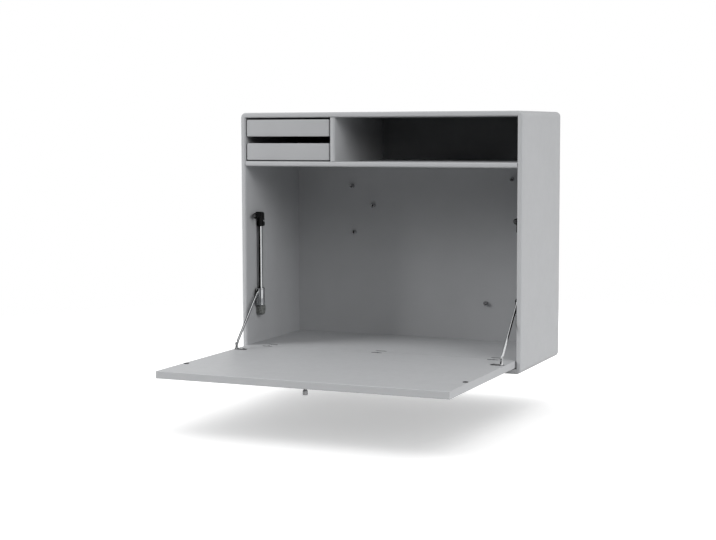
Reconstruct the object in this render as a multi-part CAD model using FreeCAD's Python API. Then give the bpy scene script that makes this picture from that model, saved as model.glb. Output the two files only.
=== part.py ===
import FreeCAD, Part
import math
import os
from FreeCAD import Vector

# Fold down wall desk. Millimetres, +Z up, +X to the right as one faces the desk, +Y into the wall.
# The wall is the plane y = 0 and the origin lies on it, in the middle of the wall rail's line of screws.

# ---------------------------------------------------------------- driving dimensions

# cabinet
WIDTH = 696.0
HEIGHT = 584.0
DEPTH = 300.0
PANEL = 12.0            # frame panels
CORNER_R = 12.0         # rounded outer corners of the frame, seen from the front
FRONT_ARRIS = 4.0       # rounding of every board's front edges
SOFT_ARRIS = 1.2        # rounding of the flap's free edge

# inner boards
BAY_HEIGHT = 102.0      # clear height of the top bay
SHELF = 12.0
TRAY_BAY = 220.0        # clear width of the bay that holds the trays
DIVIDER = 12.0
WORKTOP = 16.0          # flap and floor board, which lie level when the flap is open
BACK_BOARD = 2.0
STEEL_FACE = 1.0        # magnetic sheet on the back board
GROOVE = 5.0            # depth of the groove that holds the back board
GROOVE_PLAY = 0.2

# flap
SIDE_GAP = 2.0          # flap to side panel
HEAD_GAP = 2.0          # closed flap to shelf
FOOT_GAP = 2.0          # closed flap to bottom panel
SEAM = 1.0              # open flap to floor board
SWING_GAP = 0.3         # flap's rear corners to the cove they turn in
REAR_ARRIS = 1.5

# joinery
TONGUE_T = 3.0          # loose tongues of the shelf, divider and floor board
TONGUE_IN_PANEL = 6.0
TONGUE_IN_BOARD = 8.0
TONGUE_END = 30.0       # tongue short of a board's front and back
FLOOR_TONGUES = 3
SPLINE_T = 3.0          # splines across the frame's mitres
SPLINE_W = 10.0
SPLINE_END = 20.0       # spline short of the frame's front and back
SPLINE_SHARE = 5 / 12   # spline's middle, as a share of the panel out from the inner corner

# flush flap hinge
HINGE_INSET = 66.0      # middle of an outer hinge, from the cabinet's outer face
HINGE_W = 27.0
FLOOR_LEAF = 16.0       # length of the leaf in the floor board
FLAP_LEAF = 19.0        # length of the leaf in the flap
LEAF_T = 2.5
LEAF_PLAY = 0.2         # leaf to its pocket
HINGE_ARM_W = 6.0
HINGE_ARM_T = 7.0
HINGE_HEEL = 9.0        # length of the arm's web under the floor leaf
KNUCKLE_R = 4.5
CHEEK_T = 2.0
HINGE_PIN_R = 2.0
PIN_PLAY = 0.05         # running clearance of a pin, on the radius

# flap stay; heights are above the cabinet's underside, depths behind its front
STAY_INSET = 10.0       # tube axis from the side panel
STAY_DEPTH = 55.5
TUBE_R = 5.0
TUBE_LOW = 120.5        # where the tube leaves the foot
TUBE_HIGH = 312.5       # where the tube enters the head
TUBE_SEAT = 8.0         # tube held in the foot and in the head
HOUSING_R = 8.0         # foot and head, out from the tube axis
HOUSING_BACK = 9.0      # foot and cap of the head, behind the tube axis
FOOT_H = 23.5
FOOT_ROUND = 7.0
HEAD_SLEEVE = 18.0
HEAD_CAP = 16.5
HEAD_ROUND = 5.0
LOBE_BACK = 16.0        # screwed lobe of foot and head, behind the tube axis
LOBE_W = 14.0           # lobe, out from the side panel
SLIDER_R = 9.0
SLIDER_L = 42.5
SLIDER_PLAY = 0.08
SLIDER_GAP = 0.3        # slider to foot, flap open
CHEEK_W = 1.6           # thickness of the two cheeks that hold the arm
CHEEK_FRONT = 4.0       # cheeks in front of the pivot
CHEEK_BEVEL = 3.0       # bevel of their front corners
LINK_GAP = 1.0          # arm's upper eye in front of the slider's sleeve
LINK_BELOW = 5.0        # that pivot below the slider's top
ARM_R = 2.5             # half the bar's width
ARM_EYE_R = 4.0
ARM_T = 5.0             # thickness of the bar and its upper eye
ARM_GAP = 0.4           # arm to the cheeks, and to the post's tongue
ARM_HALF = 2.3          # thickness of the bar's lower eye, beside the tongue
POST_REACH = 72.0       # post's pin in front of the cabinet's front, flap open
POST_RISE = 13.4        # post's pin above the flap
POST_BASE_R = 4.5
POST_TOP_R = 3.2
POST_PIN_R = 1.6
PLATE_T = 1.5
PLATE_W = 12.0
PLATE_OUT = 6.0         # base plate towards the flap's side
PLATE_IN = 25.0         # and away from it
PLATE_R = 5.9           # rounding of its corners

# magnetic catch and its strike disc
CATCH_R = 6.4
CATCH_L = 8.5
CATCH_NECK_R = 5.0
PLUNGER_R = 4.0
PLUNGER_OUT = 8.0       # magnetic plunger in front of the catch's body
PLUNGER_IN = 4.0
CATCH_TO_STRIKE = 0.3
STRIKE_R = 6.0
STRIKE_T = 1.2

# pull knob
KNOB_R = 5.5
KNOB_WAIST_R = 4.0
KNOB_L = 20.0
KNOB_HEAD = 9.0
KNOB_INSET = 42.0       # from the flap's free edge
STUD_R = 2.0
STUD_IN = 9.0           # stud in the flap, and in the knob

# trays
TRAY_SETBACK = 2.5
TRAY_CORNER_R = 3.5     # corners of a tray's front, seen from the front
TRAY_BEVEL = 2.0        # bevel round a tray's front
TRAY_SIDE_GAP = 3.0
TRAY_LOW_GAP = 2.5
TRAY_FINGER_GAP = 16.0  # between the trays
TRAY_TOP_GAP = 4.5
TRAY_BACK_GAP = 19.5    # tray to back board
TRAY_FRONT_T = 10.0
TRAY_WALL = 8.0
TRAY_BOTTOM = 3.0
TRAY_BOTTOM_RISE = 4.0
TRAY_GROOVE = 4.0       # depth of the groove for the tray's bottom
RUNNER_H = 8.0
RUNNER_IN = 4.5         # how far a runner reaches into a tray's side
RUNNER_PLAY = 0.3
RUNNER_FRONT = 30.0     # runner starts this far behind the cabinet's front
RUNNER_SHARE = 0.6      # runner's height in the tray, as a share of the tray's

# wall rail and hanger
RAIL_END = 28.0         # rail's end from the cabinet's outer face
RAIL_T = 1.5
RAIL_FLANGE = 28.0
RAIL_JOG = 3.0
RAIL_LIP = 10.0
HOOK_OFF_WALL = 0.9
HOOK_PLAY = 0.3         # hook and hanger to the rail's lip
HANGER_FLANGE = 25.0
HANGER_GAP = 1.5        # hanger to the top panel
HOOK_DROP = 8.0         # hanger's hook behind the rail's lip
WALL_HOLE_R = 2.5
WALL_HOLE_END = 32.0    # outermost hole from the rail's end

# board magnets, left where a hand put them: shares of the steel face's width and height
MAGNET_R = 5.0
MAGNET_L = 8.0
MAGNET_SPOTS = ((0.224, 0.871), (0.309, 0.759), (0.232, 0.601), (0.848, 0.919), (0.751, 0.213))

# ---------------------------------------------------------------- places worked out from them

RAIL_TOP = RAIL_FLANGE / 2 + RAIL_JOG + RAIL_LIP            # rail's lip above its line of screws
TOP = RAIL_TOP + RAIL_T + HANGER_GAP + PANEL
BASE = TOP - HEIGHT
FRONT = -DEPTH
IN_X = WIDTH / 2 - PANEL                      # inner face of a side panel
IN_TOP = TOP - PANEL
IN_BASE = BASE + PANEL
LIP_OUT = HOOK_OFF_WALL + RAIL_T + HOOK_PLAY  # from the wall to the rail's lip
BACK_RECESS = LIP_OUT + RAIL_T + HOOK_PLAY + RAIL_T         # room for rail and hanger
BACK_FRONT = -BACK_RECESS - BACK_BOARD        # front face of the back board
FACE_Y = BACK_FRONT - STEEL_FACE              # front face of the steel sheet
SHELF_TOP = IN_TOP - BAY_HEIGHT
SHELF_LOW = SHELF_TOP - SHELF
DIVIDER_X = -IN_X + TRAY_BAY                  # left face of the divider
FLAP_LOW = IN_BASE + FOOT_GAP                 # flap's underside, flap open
WORK_Z = FLAP_LOW + WORKTOP                   # worktop surface, flap open

PIVOT_Y = FRONT + WORKTOP / 2
PIVOT_Z = FLAP_LOW + WORKTOP / 2
FLAP_X = IN_X - SIDE_GAP
FLAP_REAR = FRONT + WORKTOP
FLAP_EDGE = PIVOT_Y - (SHELF_LOW - HEAD_GAP - PIVOT_Z)      # free edge, flap open
CORNER_SWING = math.sqrt(2) * (WORKTOP / 2 - REAR_ARRIS) + REAR_ARRIS
COVE_R = CORNER_SWING + SWING_GAP
FLOOR_FRONT = FLAP_REAR + SEAM

HINGE_X = WIDTH / 2 - HINGE_INSET
HINGE_XS = (-HINGE_X, 0.0, HINGE_X)
SLOT_W = HINGE_ARM_W + 2 * LEAF_PLAY

STAY_X = IN_X - STAY_INSET
STAY_Y = FRONT + STAY_DEPTH
LINK_Y = STAY_Y - SLIDER_R - LINK_GAP - ARM_EYE_R
SLIDER_Z = BASE + TUBE_LOW + SLIDER_GAP       # slider's lower end, flap open
LINK_Z = SLIDER_Z + SLIDER_L - LINK_BELOW
POST_Y = FRONT - POST_REACH
POST_Z = WORK_Z + POST_RISE
CATCH_TIP = FLAP_REAR + STRIKE_T + CATCH_TO_STRIKE
CATCH_Y = CATCH_TIP + PLUNGER_OUT             # front of the catch's body
CATCH_Z = BASE + TUBE_HIGH + HEAD_SLEEVE + HEAD_CAP / 2
STRIKE_Y = PIVOT_Y - (CATCH_Z - PIVOT_Z)

TRAY_X0 = -IN_X + TRAY_SIDE_GAP
TRAY_X1 = DIVIDER_X - TRAY_SIDE_GAP
TRAY_Y0 = FRONT + TRAY_SETBACK
TRAY_Y1 = BACK_FRONT - TRAY_BACK_GAP
TRAY_H = (BAY_HEIGHT - TRAY_LOW_GAP - TRAY_FINGER_GAP - TRAY_TOP_GAP) / 2
TRAY_ZS = {
    "lower_tray": SHELF_TOP + TRAY_LOW_GAP,
    "upper_tray": SHELF_TOP + TRAY_LOW_GAP + TRAY_H + TRAY_FINGER_GAP,
}

RAIL_L = WIDTH - 2 * RAIL_END
OUTER_HOLE = RAIL_L / 2 - WALL_HOLE_END
WALL_HOLES = (-OUTER_HOLE, -OUTER_HOLE / 3, OUTER_HOLE / 3, OUTER_HOLE)


# ---------------------------------------------------------------- small helpers

def box(x0, x1, y0, y1, z0, z1):
    """A block between two values on each axis."""
    return Part.makeBox(x1 - x0, y1 - y0, z1 - z0, Vector(x0, y0, z0))


def rod_x(x0, x1, y, z, r):
    return Part.makeCylinder(r, x1 - x0, Vector(x0, y, z), Vector(1, 0, 0))


def rod_y(x, y0, y1, z, r):
    return Part.makeCylinder(r, y1 - y0, Vector(x, y0, z), Vector(0, 1, 0))


def rod_z(x, y, z0, z1, r):
    return Part.makeCylinder(r, z1 - z0, Vector(x, y, z0), Vector(0, 0, 1))


def joined(first, *others):
    """One solid from pieces that touch, with the seams between them removed."""
    return first.fuse(list(others)).removeSplitter()


def rounded(solid, radius, wanted):
    """Round the edges for which wanted(bounding box) is true."""
    edges = [e for e in solid.Edges if wanted(e.BoundBox)]
    return solid.makeFillet(radius, edges)


def bevelled(solid, size, wanted):
    """Bevel the edges for which wanted(bounding box) is true."""
    return solid.makeChamfer(size, [e for e in solid.Edges if wanted(e.BoundBox)])


def flat_at(low, high, value):
    """True where an edge's extent on one axis lies all at the value."""
    return abs(low - value) < 0.001 and abs(high - value) < 0.001


def two_sides(make):
    """The left and the right version of a piece that is made for the right side."""
    right = make()
    return {"left": right.mirror(Vector(0, 0, 0), Vector(1, 0, 0)), "right": right}


def save(name, *solids):
    shape = solids[0] if len(solids) == 1 else Part.makeCompound(list(solids))
    shape.exportStep("parts/" + name + ".step")


def cut(solid, *tools):
    return solid.cut(list(tools)) if tools else solid


# ---------------------------------------------------------------- tongues and splines

def tongues():
    """Loose tongues that key the shelf, divider and floor board to the panels they meet."""
    y0, y1 = FRONT + TONGUE_END, BACK_FRONT - TONGUE_END
    half, reach = TONGUE_T / 2, TONGUE_IN_PANEL + TONGUE_IN_BOARD
    keys = []
    shelf_z = SHELF_LOW + SHELF / 2
    for x0 in (-IN_X - TONGUE_IN_PANEL, IN_X - TONGUE_IN_BOARD):
        keys.append(box(x0, x0 + reach, y0, y1, shelf_z - half, shelf_z + half))
    divider_x = DIVIDER_X + DIVIDER / 2
    in_shelf = SHELF / 2 - half
    for z0, z1 in ((SHELF_TOP - in_shelf, SHELF_TOP + TONGUE_IN_BOARD),
                   (IN_TOP - TONGUE_IN_BOARD, IN_TOP + TONGUE_IN_PANEL)):
        keys.append(box(divider_x - half, divider_x + half, y0, y1, z0, z1))
    for i in range(FLOOR_TONGUES):
        x = (i - (FLOOR_TONGUES - 1) / 2) * 2 * HINGE_X / FLOOR_TONGUES
        z0 = IN_BASE - TONGUE_IN_PANEL
        keys.append(box(x - half, x + half, FLOOR_FRONT + FLOOR_LEAF + TONGUE_END, y1, z0, z0 + reach))
    return keys


def splines():
    """Four strips across the mitres, square to the mitre planes."""
    strips = []
    middle = PANEL * SPLINE_SHARE
    for sx in (-1, 1):
        for corner_z, sz in ((IN_TOP, 1), (IN_BASE, -1)):
            strip = Part.makeBox(SPLINE_W, DEPTH - 2 * SPLINE_END, SPLINE_T,
                                 Vector(-SPLINE_W / 2, FRONT + SPLINE_END, -SPLINE_T / 2))
            strip.rotate(Vector(0, 0, 0), Vector(0, 1, 0), 45 * sx * sz)
            strip.translate(Vector(sx * (IN_X + middle), 0, corner_z + sz * middle))
            strips.append(strip)
    return strips


# ---------------------------------------------------------------- cabinet

def frame_ring():
    """The four panels as one ring: rounded outside, grooved for the back board."""
    outer = box(-WIDTH / 2, WIDTH / 2, FRONT, 0, BASE, TOP)
    outer = rounded(outer, CORNER_R, lambda b: b.YLength > DEPTH / 2)
    outer = rounded(outer, FRONT_ARRIS, lambda b: flat_at(b.YMin, b.YMax, FRONT))
    inside = box(-IN_X, IN_X, FRONT, 0, IN_BASE, IN_TOP)
    ring = outer.cut(inside)
    ring = rounded(ring, FRONT_ARRIS, lambda b: flat_at(b.YMin, b.YMax, FRONT) and within_inside(b))
    rim_x, low, high = IN_X + GROOVE, IN_BASE - GROOVE, IN_TOP + GROOVE
    return ring.cut(box(-rim_x, rim_x, BACK_FRONT, -BACK_RECESS, low, high))


def within_inside(b):
    """True for an edge that lies no further out than the cabinet's inner faces."""
    slack = 0.001
    return (max(-b.XMin, b.XMax) < IN_X + slack
            and b.ZMin > IN_BASE - slack and b.ZMax < IN_TOP + slack)


def mitre_wedges():
    """For each panel, the region of the front view between its two mitres, as a solid through the ring."""
    half_w, half_h = IN_X, (IN_TOP - IN_BASE) / 2
    mid_z = (IN_TOP + IN_BASE) / 2
    reach = min(half_w, half_h)         # how far a mitre line runs in from an inner corner
    far = 2 * PANEL                     # and how far out
    y = FRONT - 1

    def corner(sx, sz, run):
        return Vector(sx * (half_w + run), y, mid_z + sz * (half_h + run))

    ends = {
        "top_panel": ((-1, 1), (1, 1)),
        "bottom_panel": ((-1, -1), (1, -1)),
        "left_side": ((-1, 1), (-1, -1)),
        "right_side": ((1, 1), (1, -1)),
    }
    wedges = {}
    for name, (a, b) in ends.items():
        outline = [corner(*a, far), corner(*b, far), corner(*b, -reach), corner(*a, -reach)]
        if (outline[2] - outline[3]).Length < 0.001:
            outline.pop()
        face = Part.Face(Part.makePolygon(outline + outline[:1]))
        wedges[name] = face.extrude(Vector(0, DEPTH + 2, 0))
    return wedges


def cove():
    """The round way that the flap's rear corners turn in, between the side panels."""
    return rod_x(-IN_X, IN_X, PIVOT_Y, PIVOT_Z, COVE_R)


def inner_board(x0, x1, z0, z1, front=FRONT):
    """A board from the front to the back board, with soft front edges."""
    board = box(x0, x1, front, BACK_FRONT, z0, z1)
    along_x = x1 - x0 > z1 - z0
    return rounded(board, FRONT_ARRIS, lambda b: flat_at(b.YMin, b.YMax, front)
                   and (b.XLength if along_x else b.ZLength) > SHELF * 2)


def floor_board(keys):
    """The fixed half of the worktop, hollowed where the flap turns and where the hinges sit."""
    board = box(-IN_X, IN_X, FLOOR_FRONT, BACK_FRONT, IN_BASE, WORK_Z)
    pockets = [tool for x in HINGE_XS for tool in floor_pocket(x)]
    return cut(board, cove(), *keys, *pockets)


def back_board():
    edge = GROOVE - GROOVE_PLAY
    return box(-IN_X - edge, IN_X + edge, BACK_FRONT, -BACK_RECESS, IN_BASE - edge, IN_TOP + edge)


# ---------------------------------------------------------------- flush hinges

def leaf_outline(x, root_y, length, way, grow=0.0):
    """A leaf from above: square at root_y, round at the other end, which is along way (+1 or -1)."""
    r = HINGE_W / 2 + grow
    end = root_y + way * (length - HINGE_W / 2)
    a, b = Vector(x - r, root_y, 0), Vector(x + r, root_y, 0)
    c, d = Vector(x + r, end, 0), Vector(x - r, end, 0)
    tip = Part.Arc(c, Vector(x, end + way * r, 0), d).toShape()
    return Part.Wire([Part.makeLine(a, b), Part.makeLine(b, c), tip, Part.makeLine(d, a)])


def leaf_plate(x, root_y, length, way, grow=0.0):
    face = Part.Face(leaf_outline(x, root_y, length, way, grow))
    face.translate(Vector(0, 0, WORK_Z - LEAF_T))
    return face.extrude(Vector(0, 0, LEAF_T))


def floor_leaf(x):
    """Leaf in the floor board, with the arm that reaches forward to the pin."""
    plate = leaf_plate(x, FLOOR_FRONT, FLOOR_LEAF, 1).cut(cove())
    half, thick = HINGE_ARM_W / 2, HINGE_ARM_T / 2
    root = PIVOT_Y + COVE_R
    heel = root + HINGE_HEEL
    arm = box(x - half, x + half, PIVOT_Y, heel, PIVOT_Z - thick, PIVOT_Z + thick)
    web = box(x - half, x + half, root, heel, PIVOT_Z, WORK_Z - LEAF_T)
    eye = rod_x(x - half, x + half, PIVOT_Y, PIVOT_Z, KNUCKLE_R)
    bore = rod_x(x - half, x + half, PIVOT_Y, PIVOT_Z, HINGE_PIN_R + PIN_PLAY)
    return joined(plate, arm, web, eye).cut(bore)


def floor_pocket(x):
    """What the floor board gives up to a hinge leaf and its arm."""
    half = SLOT_W / 2
    heel = PIVOT_Y + COVE_R + HINGE_HEEL + LEAF_PLAY
    slot = box(x - half, x + half, FLAP_REAR, heel, PIVOT_Z - HINGE_ARM_T / 2 - LEAF_PLAY, WORK_Z)
    return [leaf_plate(x, FLAP_REAR, FLOOR_LEAF + SEAM, 1, LEAF_PLAY), slot]


def flap_leaf(x):
    """Leaf in the flap, with two cheeks either side of the arm and the pin riveted into them."""
    root = PIVOT_Y + KNUCKLE_R
    plate = leaf_plate(x, root, FLAP_LEAF - (FLAP_REAR - root), -1)
    inner = SLOT_W / 2
    gap = box(x - inner, x + inner, PIVOT_Y - KNUCKLE_R - LEAF_PLAY, root + 1, PIVOT_Z, WORK_Z + 1)
    cheeks = [box(x0, x0 + CHEEK_T, PIVOT_Y - KNUCKLE_R, root, PIVOT_Z - KNUCKLE_R, WORK_Z - LEAF_T)
              for x0 in (x - inner - CHEEK_T, x + inner)]
    pin = rod_x(x - inner, x + inner, PIVOT_Y, PIVOT_Z, HINGE_PIN_R)
    return joined(plate.cut(gap), pin, *cheeks)


def flap_pocket(x):
    """What the flap gives up to its leaf, the cheeks and the swing of the arm."""
    half = SLOT_W / 2 + CHEEK_T + LEAF_PLAY
    low = KNUCKLE_R + LEAF_PLAY
    root = PIVOT_Y + KNUCKLE_R
    swing = box(x - half, x + half, PIVOT_Y - low, FLAP_REAR + 1, PIVOT_Z - low, WORK_Z + 1)
    plate = leaf_plate(x, root + LEAF_PLAY, FLAP_LEAF - (FLAP_REAR - root) + LEAF_PLAY, -1, LEAF_PLAY)
    return [swing, plate]


# ---------------------------------------------------------------- flap

def flap_board():
    board = box(-FLAP_X, FLAP_X, FLAP_EDGE, FLAP_REAR, FLAP_LOW, WORK_Z)
    for radius, y in ((REAR_ARRIS, FLAP_REAR), (SOFT_ARRIS, FLAP_EDGE)):
        board = rounded(board, radius, lambda b: b.XLength > FLAP_X and flat_at(b.YMin, b.YMax, y))
    tools = [tool for x in HINGE_XS for tool in flap_pocket(x)]
    return cut(board, *tools, knob_stud())


def pull_knob():
    """A waisted round knob on the flap's outer face, its head away from the board."""
    y, low = FLAP_EDGE + KNOB_INSET, FLAP_LOW - KNOB_L
    waist = rod_z(0, y, low + KNOB_HEAD, FLAP_LOW, KNOB_WAIST_R)
    return joined(rod_z(0, y, low, low + KNOB_HEAD, KNOB_R), waist).cut(knob_stud())


def knob_stud():
    return rod_z(0, FLAP_EDGE + KNOB_INSET, FLAP_LOW - STUD_IN, FLAP_LOW + STUD_IN, STUD_R)


def strike_disc():
    return rod_z(STAY_X, STRIKE_Y, WORK_Z, WORK_Z + STRIKE_T, STRIKE_R)


# ---------------------------------------------------------------- flap stays, made for the right side

def housing(low, high, front, low_r, high_r):
    """A block from the side panel round the tube, with its corners rounded in side view."""
    block = box(STAY_X - HOUSING_R, IN_X, STAY_Y - front, STAY_Y + HOUSING_BACK, low, high)
    for radius, z in ((low_r, low), (high_r, high)):
        if radius:
            block = rounded(block, radius, lambda b: b.XLength > 0 and b.YLength < 0.001
                            and flat_at(b.ZMin, b.ZMax, z))
    return block


def lobe(low, high):
    """The part of a housing that a screw goes through into the side panel."""
    return box(IN_X - LOBE_W, IN_X, STAY_Y, STAY_Y + LOBE_BACK, low, high)


def stay_foot():
    """Plastic foot: a socket under the tube, round at its bottom, with a screwed lobe behind."""
    low, high = BASE + TUBE_LOW - FOOT_H, BASE + TUBE_LOW
    body = housing(low, high, HOUSING_R, FOOT_ROUND, 0)
    return joined(body, lobe(low + FOOT_ROUND, high)).cut(tube_seat(high - TUBE_SEAT, high))


def stay_head():
    """Head: a round sleeve on the tube, a cap over it, a screwed lobe, and the neck of the catch."""
    low = BASE + TUBE_HIGH
    mid, high = low + HEAD_SLEEVE, low + HEAD_SLEEVE + HEAD_CAP
    sleeve = rod_z(STAY_X, STAY_Y, low, mid, HOUSING_R)
    cap = housing(mid, high, HOUSING_R, 0, HEAD_ROUND)
    neck = rod_y(STAY_X, CATCH_Y + CATCH_L, STAY_Y, CATCH_Z, CATCH_NECK_R)
    return joined(sleeve, lobe(low, mid), cap, neck).cut(tube_seat(low, low + TUBE_SEAT))


def tube_seat(z0, z1):
    return rod_z(STAY_X, STAY_Y, z0, z1, TUBE_R)


def stay_tube():
    return tube_seat(BASE + TUBE_LOW - TUBE_SEAT, BASE + TUBE_HIGH + TUBE_SEAT)


def stay_slider():
    """Sleeve on the tube with two cheeks in front of it, between which the arm folds."""
    low, high = SLIDER_Z, SLIDER_Z + SLIDER_L
    sleeve = rod_z(STAY_X, STAY_Y, low, high, SLIDER_R)
    front, slot = LINK_Y - CHEEK_FRONT, ARM_T / 2 + ARM_GAP
    cheeks = []
    for x0 in (STAY_X - slot - CHEEK_W, STAY_X + slot):
        cheek = box(x0, x0 + CHEEK_W, front, STAY_Y, low, high)
        cheeks.append(bevelled(cheek, CHEEK_BEVEL, lambda b: b.XLength > 0 and b.ZLength < 0.001
                               and flat_at(b.YMin, b.YMax, front)))
    return joined(sleeve, *cheeks).cut(rod_z(STAY_X, STAY_Y, low, high, TUBE_R + SLIDER_PLAY))


def stay_arm():
    """Straight bar with an eye at each end; the lower eye is half as thick and turns on the post's pin."""
    start, end = Vector(0, POST_Y, POST_Z), Vector(0, LINK_Y, LINK_Z)
    along = (end - start).normalize()
    across = Vector(0, -along.z, along.y)
    reach = math.sqrt(ARM_EYE_R ** 2 - ARM_R ** 2)
    corners = {(p, s): centre + along * (reach * p) + across * (ARM_R * s)
               for p, centre in ((1, start), (-1, end)) for s in (-1, 1)}
    low_eye = Part.Arc(corners[1, 1], start - along * ARM_EYE_R, corners[1, -1]).toShape()
    high_eye = Part.Arc(corners[-1, -1], end + along * ARM_EYE_R, corners[-1, 1]).toShape()
    outline = Part.Wire([low_eye, Part.makeLine(corners[1, -1], corners[-1, -1]), high_eye,
                         Part.makeLine(corners[-1, 1], corners[1, 1])])
    face = Part.Face(outline)
    face.translate(Vector(STAY_X - ARM_T / 2, 0, 0))
    x0, x1 = STAY_X - ARM_T / 2 + ARM_HALF, STAY_X + ARM_T / 2
    beside = rod_x(x0, x1, POST_Y, POST_Z, ARM_EYE_R + ARM_GAP)
    bore = rod_x(STAY_X - ARM_T / 2, x0, POST_Y, POST_Z, POST_PIN_R + PIN_PLAY)
    return face.extrude(Vector(ARM_T, 0, 0)).cut([beside, bore])


def stay_post():
    """Base plate on the flap with a tapered post, a tongue at its top, and a pin riveted through it."""
    plate = box(STAY_X - PLATE_IN, STAY_X + PLATE_OUT, POST_Y - PLATE_W / 2, POST_Y + PLATE_W / 2,
                WORK_Z, WORK_Z + PLATE_T)
    plate = rounded(plate, PLATE_R, lambda b: b.ZLength > PLATE_T / 2)
    half = ARM_T / 2

    def at(forward, rise):
        return Vector(STAY_X - half, POST_Y - forward, POST_Z + rise)

    low = PLATE_T - POST_RISE
    heel, toe = at(-POST_BASE_R, low), at(POST_BASE_R, low)
    back, front = at(-POST_TOP_R, 0), at(POST_TOP_R, 0)
    crown = Part.Arc(back, at(0, POST_TOP_R), front).toShape()
    side = Part.Wire([Part.makeLine(heel, back), crown, Part.makeLine(front, toe),
                      Part.makeLine(toe, heel)])
    post = Part.Face(side).extrude(Vector(ARM_T, 0, 0))
    tongue = STAY_X - half + ARM_HALF + ARM_GAP
    beside = box(STAY_X - half, tongue, POST_Y - PLATE_W, POST_Y + PLATE_W,
                 POST_Z - ARM_EYE_R - ARM_GAP, POST_Z + PLATE_W)
    pin = rod_x(STAY_X - half, tongue, POST_Y, POST_Z, POST_PIN_R)
    return joined(post.cut(beside), plate, pin)


def catch():
    """Round body at the front of the head, with a seat for its magnetic plunger."""
    return rod_y(STAY_X, CATCH_Y, CATCH_Y + CATCH_L, CATCH_Z, CATCH_R).cut(catch_magnet())


def catch_magnet():
    return rod_y(STAY_X, CATCH_TIP, CATCH_Y + PLUNGER_IN, CATCH_Z, PLUNGER_R)


# ---------------------------------------------------------------- trays

def tray_pieces(z0):
    """Front, sides, back and bottom of a tray whose underside is at z0."""
    y_in = TRAY_Y0 + TRAY_FRONT_T
    y_end = TRAY_Y1
    z1 = z0 + TRAY_H
    front = box(TRAY_X0, TRAY_X1, TRAY_Y0, y_in, z0, z1)
    front = rounded(front, TRAY_CORNER_R, lambda b: b.YLength > TRAY_FRONT_T / 2)
    front = bevelled(front, TRAY_BEVEL, lambda b: flat_at(b.YMin, b.YMax, TRAY_Y0))
    low = z0 + TRAY_BOTTOM_RISE
    bottom = box(TRAY_X0 + TRAY_WALL - TRAY_GROOVE, TRAY_X1 - TRAY_WALL + TRAY_GROOVE,
                 y_in - TRAY_GROOVE, y_end - TRAY_WALL + TRAY_GROOVE, low, low + TRAY_BOTTOM)
    way = runner_way(z0)
    sides = []
    for x0 in (TRAY_X0, TRAY_X1 - TRAY_WALL):
        side = box(x0, x0 + TRAY_WALL, y_in, y_end, z0, z1)
        sides.append(cut(side, bottom, *way))
    back = box(TRAY_X0 + TRAY_WALL, TRAY_X1 - TRAY_WALL, y_end - TRAY_WALL, y_end, z0, z1)
    return {"front": [front.cut(bottom)], "sides": sides, "back": [back.cut(bottom)], "bottom": [bottom]}


def runner_mid(z0):
    return z0 + TRAY_H * RUNNER_SHARE


def runner_way(z0):
    """Grooves in a tray's sides for its two runners, open at the back."""
    half = RUNNER_H / 2 + RUNNER_PLAY
    mid = runner_mid(z0)
    deep = RUNNER_IN + RUNNER_PLAY
    y0, y1 = FRONT + RUNNER_FRONT - RUNNER_PLAY, TRAY_Y1
    return [box(TRAY_X0, TRAY_X0 + deep, y0, y1, mid - half, mid + half),
            box(TRAY_X1 - deep, TRAY_X1, y0, y1, mid - half, mid + half)]


def tray_runners():
    strips = []
    y0, y1 = FRONT + RUNNER_FRONT, TRAY_Y1
    for z0 in TRAY_ZS.values():
        mid = runner_mid(z0)
        low, high = mid - RUNNER_H / 2, mid + RUNNER_H / 2
        strips.append(box(-IN_X, TRAY_X0 + RUNNER_IN, y0, y1, low, high))
        strips.append(box(TRAY_X1 - RUNNER_IN, DIVIDER_X, y0, y1, low, high))
    return strips


# ---------------------------------------------------------------- wall rail and hanger

def folded_strip(outline, length):
    """A strip of sheet: its section in (y, z), carried along X."""
    points = [Vector(-length / 2, y, z) for y, z in outline]
    face = Part.Face(Part.makePolygon(points + points[:1]))
    return face.extrude(Vector(length, 0, 0))


def wall_rail():
    """Flat against the wall, with a lip that stands up clear of it."""
    low, knee = -RAIL_FLANGE / 2, RAIL_FLANGE / 2
    lip0, lip1 = knee + RAIL_JOG, knee + RAIL_JOG + RAIL_LIP
    out = LIP_OUT
    section = [(0, low), (0, knee), (-out, lip0), (-out, lip1), (-out - RAIL_T, lip1),
               (-out - RAIL_T, lip0 - RAIL_T / 2), (-RAIL_T, knee - RAIL_T / 2), (-RAIL_T, low)]
    holes = [rod_y(x, -RAIL_T, 0, 0, WALL_HOLE_R) for x in WALL_HOLES]
    return folded_strip(section, RAIL_L).cut(holes)


def hanger_strip():
    """On the back board's rear face, hooked over the rail's lip."""
    seat, top = RAIL_TOP, RAIL_TOP + RAIL_T
    face, inner = -BACK_RECESS, -BACK_RECESS + RAIL_T
    low, tip = top - HANGER_FLANGE, seat - HOOK_DROP
    hook_out = -LIP_OUT + HOOK_PLAY
    hook_in = hook_out + RAIL_T
    section = [(face, top), (face, low), (inner, low), (inner, seat),
               (hook_out, seat), (hook_out, tip), (hook_in, tip), (hook_in, top)]
    return folded_strip(section, RAIL_L)


# ---------------------------------------------------------------- board magnets

def board_magnet(across, up):
    """A small round magnet on the steel face, at shares of the face's width and height."""
    x = -IN_X + across * 2 * IN_X
    z = WORK_Z + up * (SHELF_LOW - WORK_Z)
    return rod_y(x, FACE_Y - MAGNET_L, FACE_Y, z, MAGNET_R)


# ---------------------------------------------------------------- build

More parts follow.
